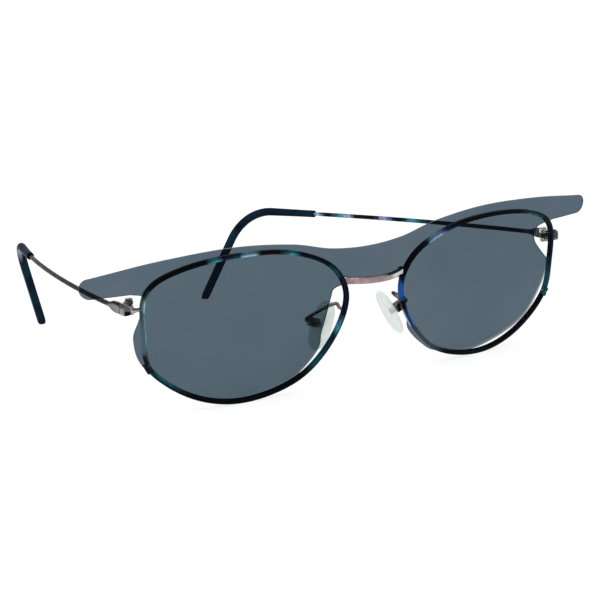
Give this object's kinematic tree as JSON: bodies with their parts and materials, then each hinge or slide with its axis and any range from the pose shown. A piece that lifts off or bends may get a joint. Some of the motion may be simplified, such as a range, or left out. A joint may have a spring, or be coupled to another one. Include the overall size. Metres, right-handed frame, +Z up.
{
  "type": "post-mydriatic glasses",
  "caption": "Wire-rim spectacles with clear lenses, folding temples, rocking nose pads and a thin tinted sheet that slips in behind the rims.",
  "frame": {"origin": "middle of the bounding box on the surface that the rims and the temple tips stand on", "axes": "+X to the wearer's left, +Y from the front back along the temples, +Z up"},
  "size_m": [0.1464, 0.1258, 0.0382],
  "materials": {
    "marbled_enamel": "marbled navy, teal and sky-blue enamel on wire, glossy",
    "lens_resin": "clear polished resin",
    "pale_plating": "pinkish silver plating, polished",
    "nickel_silver": "plain grey metal, satin",
    "pad_silicone": "translucent soft silicone",
    "tip_sleeve": "dark navy sleeve, smooth",
    "tinted_film": "slate blue-grey transparent film, smooth"
  },
  "bodies": {
    "front": {"left_rim": "marbled_enamel", "right_rim": "marbled_enamel", "left_lens": "lens_resin", "right_lens": "lens_resin", "left_rim_lock_upper": "marbled_enamel", "right_rim_lock_upper": "marbled_enamel", "left_rim_lock_lower": "marbled_enamel", "right_rim_lock_lower": "marbled_enamel", "left_rim_screw": "nickel_silver", "right_rim_screw": "nickel_silver", "bridge": "pale_plating", "left_pad_arm": "pale_plating", "right_pad_arm": "pale_plating", "left_pad_box": "pale_plating", "right_pad_box": "pale_plating", "left_pad_screw": "nickel_silver", "right_pad_screw": "nickel_silver", "left_end_piece": "nickel_silver", "right_end_piece": "nickel_silver", "left_hinge_front_leaf": "nickel_silver", "right_hinge_front_leaf": "nickel_silver", "left_hinge_screw": "nickel_silver", "right_hinge_screw": "nickel_silver"},
    "left_arm": {"left_hinge_rear_leaf": "nickel_silver", "left_temple": "marbled_enamel", "left_temple_tip": "tip_sleeve"},
    "right_arm": {"right_hinge_rear_leaf": "nickel_silver", "right_temple": "nickel_silver", "right_temple_tip": "tip_sleeve"},
    "left_pad": {"left_nose_pad": "pad_silicone", "left_pad_post": "nickel_silver"},
    "right_pad": {"right_nose_pad": "pad_silicone", "right_pad_post": "nickel_silver"},
    "shade": {"tinted_shade": "tinted_film"}
  },
  "joints": [
    {"name": "left_temple_fold", "type": "hinge", "parent": "front", "child": "left_arm", "pos_m": [0.06075, -0.05017, 0.02626], "axis": [0, 0, 1], "range_deg": [-14, 60.5]},
    {"name": "right_temple_fold", "type": "hinge", "parent": "front", "child": "right_arm", "pos_m": [-0.06075, -0.05017, 0.02626], "axis": [0, 0, -1], "range_deg": [-8.5, 76]},
    {"name": "left_pad_rock", "type": "hinge", "parent": "front", "child": "left_pad", "pos_m": [0.01234, -0.05158, 0.01506], "axis": [0.1377, 0.9905, 0.0011], "range_deg": [-10, 10]},
    {"name": "right_pad_rock", "type": "hinge", "parent": "front", "child": "right_pad", "pos_m": [-0.01234, -0.05158, 0.01506], "axis": [-0.1377, 0.9905, 0.0011], "range_deg": [-10, 10]},
    {"name": "shade_lift", "type": "slide", "parent": "front", "child": "shade", "axis": [0, -0.1478, 0.989], "range_m": [0, 0.042]}
  ]
}
